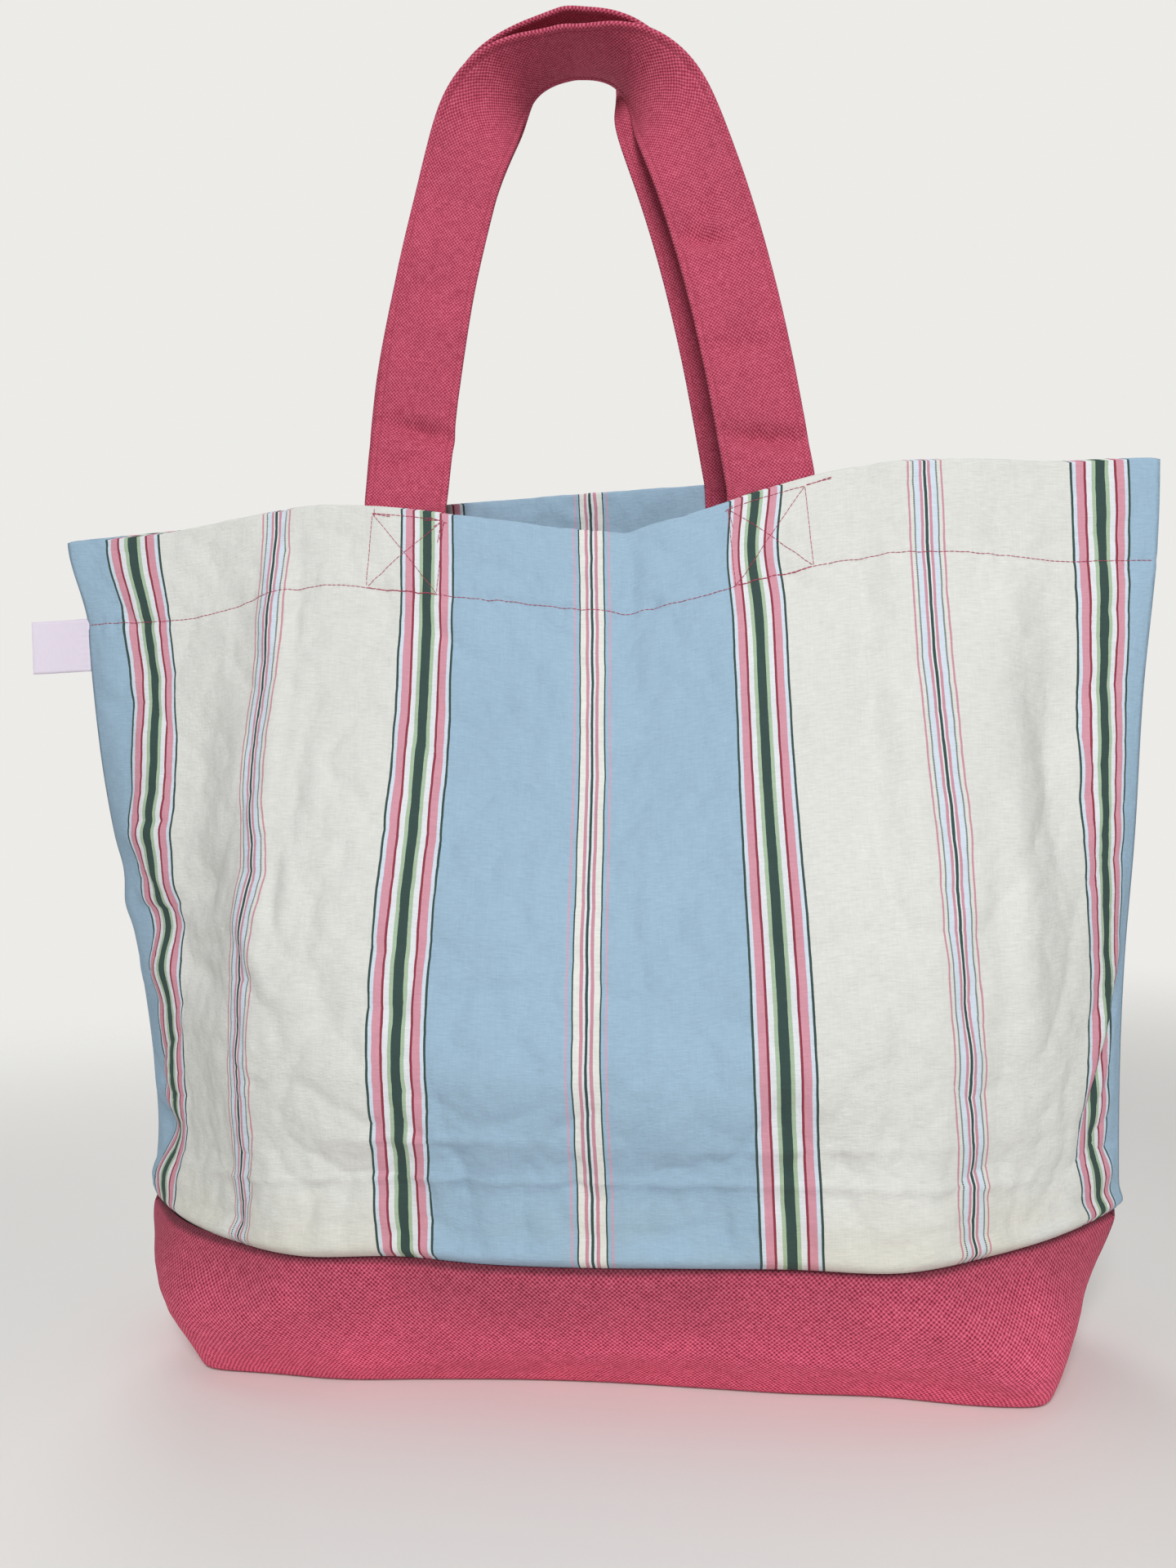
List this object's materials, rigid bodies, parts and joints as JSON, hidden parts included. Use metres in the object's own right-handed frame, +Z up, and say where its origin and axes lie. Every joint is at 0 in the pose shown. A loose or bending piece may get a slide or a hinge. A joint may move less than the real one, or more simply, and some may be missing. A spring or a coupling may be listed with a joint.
{
  "type": "beach bag",
  "caption": "Soft striped cotton beach bag with a canvas base, a wide open mouth with a folded hem, swinging canvas straps that turn level at the top, and a bare label tab in the side seam.",
  "frame": {"origin": "middle of the flat underside of the canvas base, where the bag rests on a floor", "axes": "+Z up through the mouth and the straps, +X along the width towards the bag's right side as seen from the front, -Y out of the front panel"},
  "size_m": [0.6758, 0.1884, 0.7695],
  "materials": {
    "striped_cotton": "ribbed plain weave, cream and blue stripes with green and pink lines",
    "raspberry_canvas": "heavy heathered hopsack canvas, matt",
    "raspberry_thread": "cotton sewing thread",
    "white_tape": "smooth woven label tape, bare"
  },
  "bodies": {
    "bag": {"canvas_base": "raspberry_canvas", "front_panel": "striped_cotton", "back_panel": "striped_cotton", "front_hem_stitch": "raspberry_thread", "back_hem_stitch": "raspberry_thread", "front_strap_left_end": "raspberry_canvas", "front_strap_right_end": "raspberry_canvas", "back_strap_left_end": "raspberry_canvas", "back_strap_right_end": "raspberry_canvas", "front_left_box_stitch": "raspberry_thread", "front_right_box_stitch": "raspberry_thread", "back_left_box_stitch": "raspberry_thread", "back_right_box_stitch": "raspberry_thread"},
    "front_handle": {"front_strap": "raspberry_canvas", "front_strap_inner_stitch": "raspberry_thread", "front_strap_outer_stitch": "raspberry_thread"},
    "back_handle": {"back_strap": "raspberry_canvas", "back_strap_inner_stitch": "raspberry_thread", "back_strap_outer_stitch": "raspberry_thread"},
    "label": {"label_tab": "white_tape"}
  },
  "joints": [
    {"name": "front_strap_swing", "type": "hinge", "parent": "bag", "child": "front_handle", "pos_m": [0, -0.00991, 0.49152], "axis": [1, 0, 0], "range_deg": [0, 150]},
    {"name": "back_strap_swing", "type": "hinge", "parent": "bag", "child": "back_handle", "pos_m": [0, 0.04176, 0.50534], "axis": [-1, 0, 0], "range_deg": [0, 155]},
    {"name": "label_flap", "type": "hinge", "parent": "bag", "child": "label", "pos_m": [-0.31773, 0, 0.4235], "axis": [0, 0, 1], "range_deg": [-85, 85]}
  ]
}
